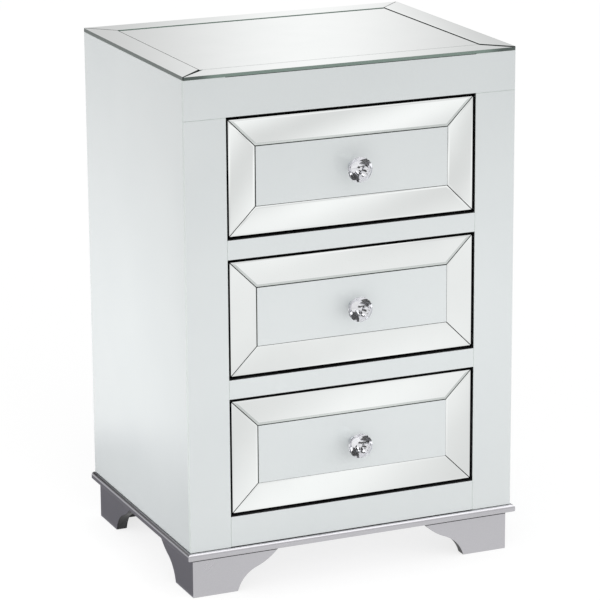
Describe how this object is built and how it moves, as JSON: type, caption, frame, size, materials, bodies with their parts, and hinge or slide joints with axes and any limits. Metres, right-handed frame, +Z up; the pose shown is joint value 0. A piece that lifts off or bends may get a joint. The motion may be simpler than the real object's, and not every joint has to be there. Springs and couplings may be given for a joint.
{
  "type": "mirrored nightstand",
  "caption": "Straight-sided nightstand chest clad in white glass and mirror, with sliding drawers, crystal knobs and a silver base on bracket feet.",
  "frame": {"origin": "centre of the object's box on the floor", "axes": "+Z up, the drawer fronts face -Y, +X to the right of a viewer in front"},
  "size_m": [0.457, 0.38, 0.6672],
  "materials": {
    "white_glass": "clear float glass painted white on its back",
    "mirror_glass": "silvered float glass",
    "silver_lacquer": "satin silver lacquer on board",
    "black_board": "matt black paint on board",
    "drawer_box_wood": "black stain",
    "beech": "planed, waxed",
    "crystal": "cut and polished",
    "chrome": "polished",
    "screw_steel": "zinc plated"
  },
  "bodies": {
    "case": {"side_glass_left": "white_glass", "side_glass_right": "white_glass", "stile_glass_left": "white_glass", "stile_glass_right": "white_glass", "top_rail_glass": "white_glass", "upper_mid_rail_glass": "white_glass", "lower_mid_rail_glass": "white_glass", "bottom_rail_glass": "white_glass", "top_mirror": "mirror_glass", "top_mirror_strips": "mirror_glass", "base_board": "silver_lacquer", "foot_front_left": "silver_lacquer", "foot_front_right": "silver_lacquer", "foot_rear_left": "silver_lacquer", "foot_rear_right": "silver_lacquer", "side_panel_left": "black_board", "side_panel_right": "black_board", "sub_top": "black_board", "bottom_panel": "black_board", "back_panel": "black_board", "stile_left": "black_board", "stile_right": "black_board", "top_rail": "black_board", "upper_mid_rail": "black_board", "lower_mid_rail": "black_board", "bottom_rail": "black_board", "runner_packers": "black_board", "foot_glue_blocks": "black_board", "drawer_runners": "beech", "back_panel_screws": "screw_steel"},
    "lower_drawer": {"lower_drawer_glass": "white_glass", "lower_drawer_mirror_strips": "mirror_glass", "lower_drawer_front": "black_board", "lower_drawer_side_left": "drawer_box_wood", "lower_drawer_side_right": "drawer_box_wood", "lower_drawer_back": "drawer_box_wood", "lower_drawer_bottom": "drawer_box_wood", "lower_knob_crystal": "crystal", "lower_knob_base": "chrome", "lower_knob_screw": "screw_steel"},
    "middle_drawer": {"middle_drawer_glass": "white_glass", "middle_drawer_mirror_strips": "mirror_glass", "middle_drawer_front": "black_board", "middle_drawer_side_left": "drawer_box_wood", "middle_drawer_side_right": "drawer_box_wood", "middle_drawer_back": "drawer_box_wood", "middle_drawer_bottom": "drawer_box_wood", "middle_knob_crystal": "crystal", "middle_knob_base": "chrome", "middle_knob_screw": "screw_steel"},
    "upper_drawer": {"upper_drawer_glass": "white_glass", "upper_drawer_mirror_strips": "mirror_glass", "upper_drawer_front": "black_board", "upper_drawer_side_left": "drawer_box_wood", "upper_drawer_side_right": "drawer_box_wood", "upper_drawer_back": "drawer_box_wood", "upper_drawer_bottom": "drawer_box_wood", "upper_knob_crystal": "crystal", "upper_knob_base": "chrome", "upper_knob_screw": "screw_steel"}
  },
  "joints": [
    {"name": "lower_drawer_slide", "type": "slide", "parent": "case", "child": "lower_drawer", "axis": [0, -1, 0], "range_m": [0, 0.22]},
    {"name": "middle_drawer_slide", "type": "slide", "parent": "case", "child": "middle_drawer", "axis": [0, -1, 0], "range_m": [0, 0.22]},
    {"name": "upper_drawer_slide", "type": "slide", "parent": "case", "child": "upper_drawer", "axis": [0, -1, 0], "range_m": [0, 0.22]}
  ]
}
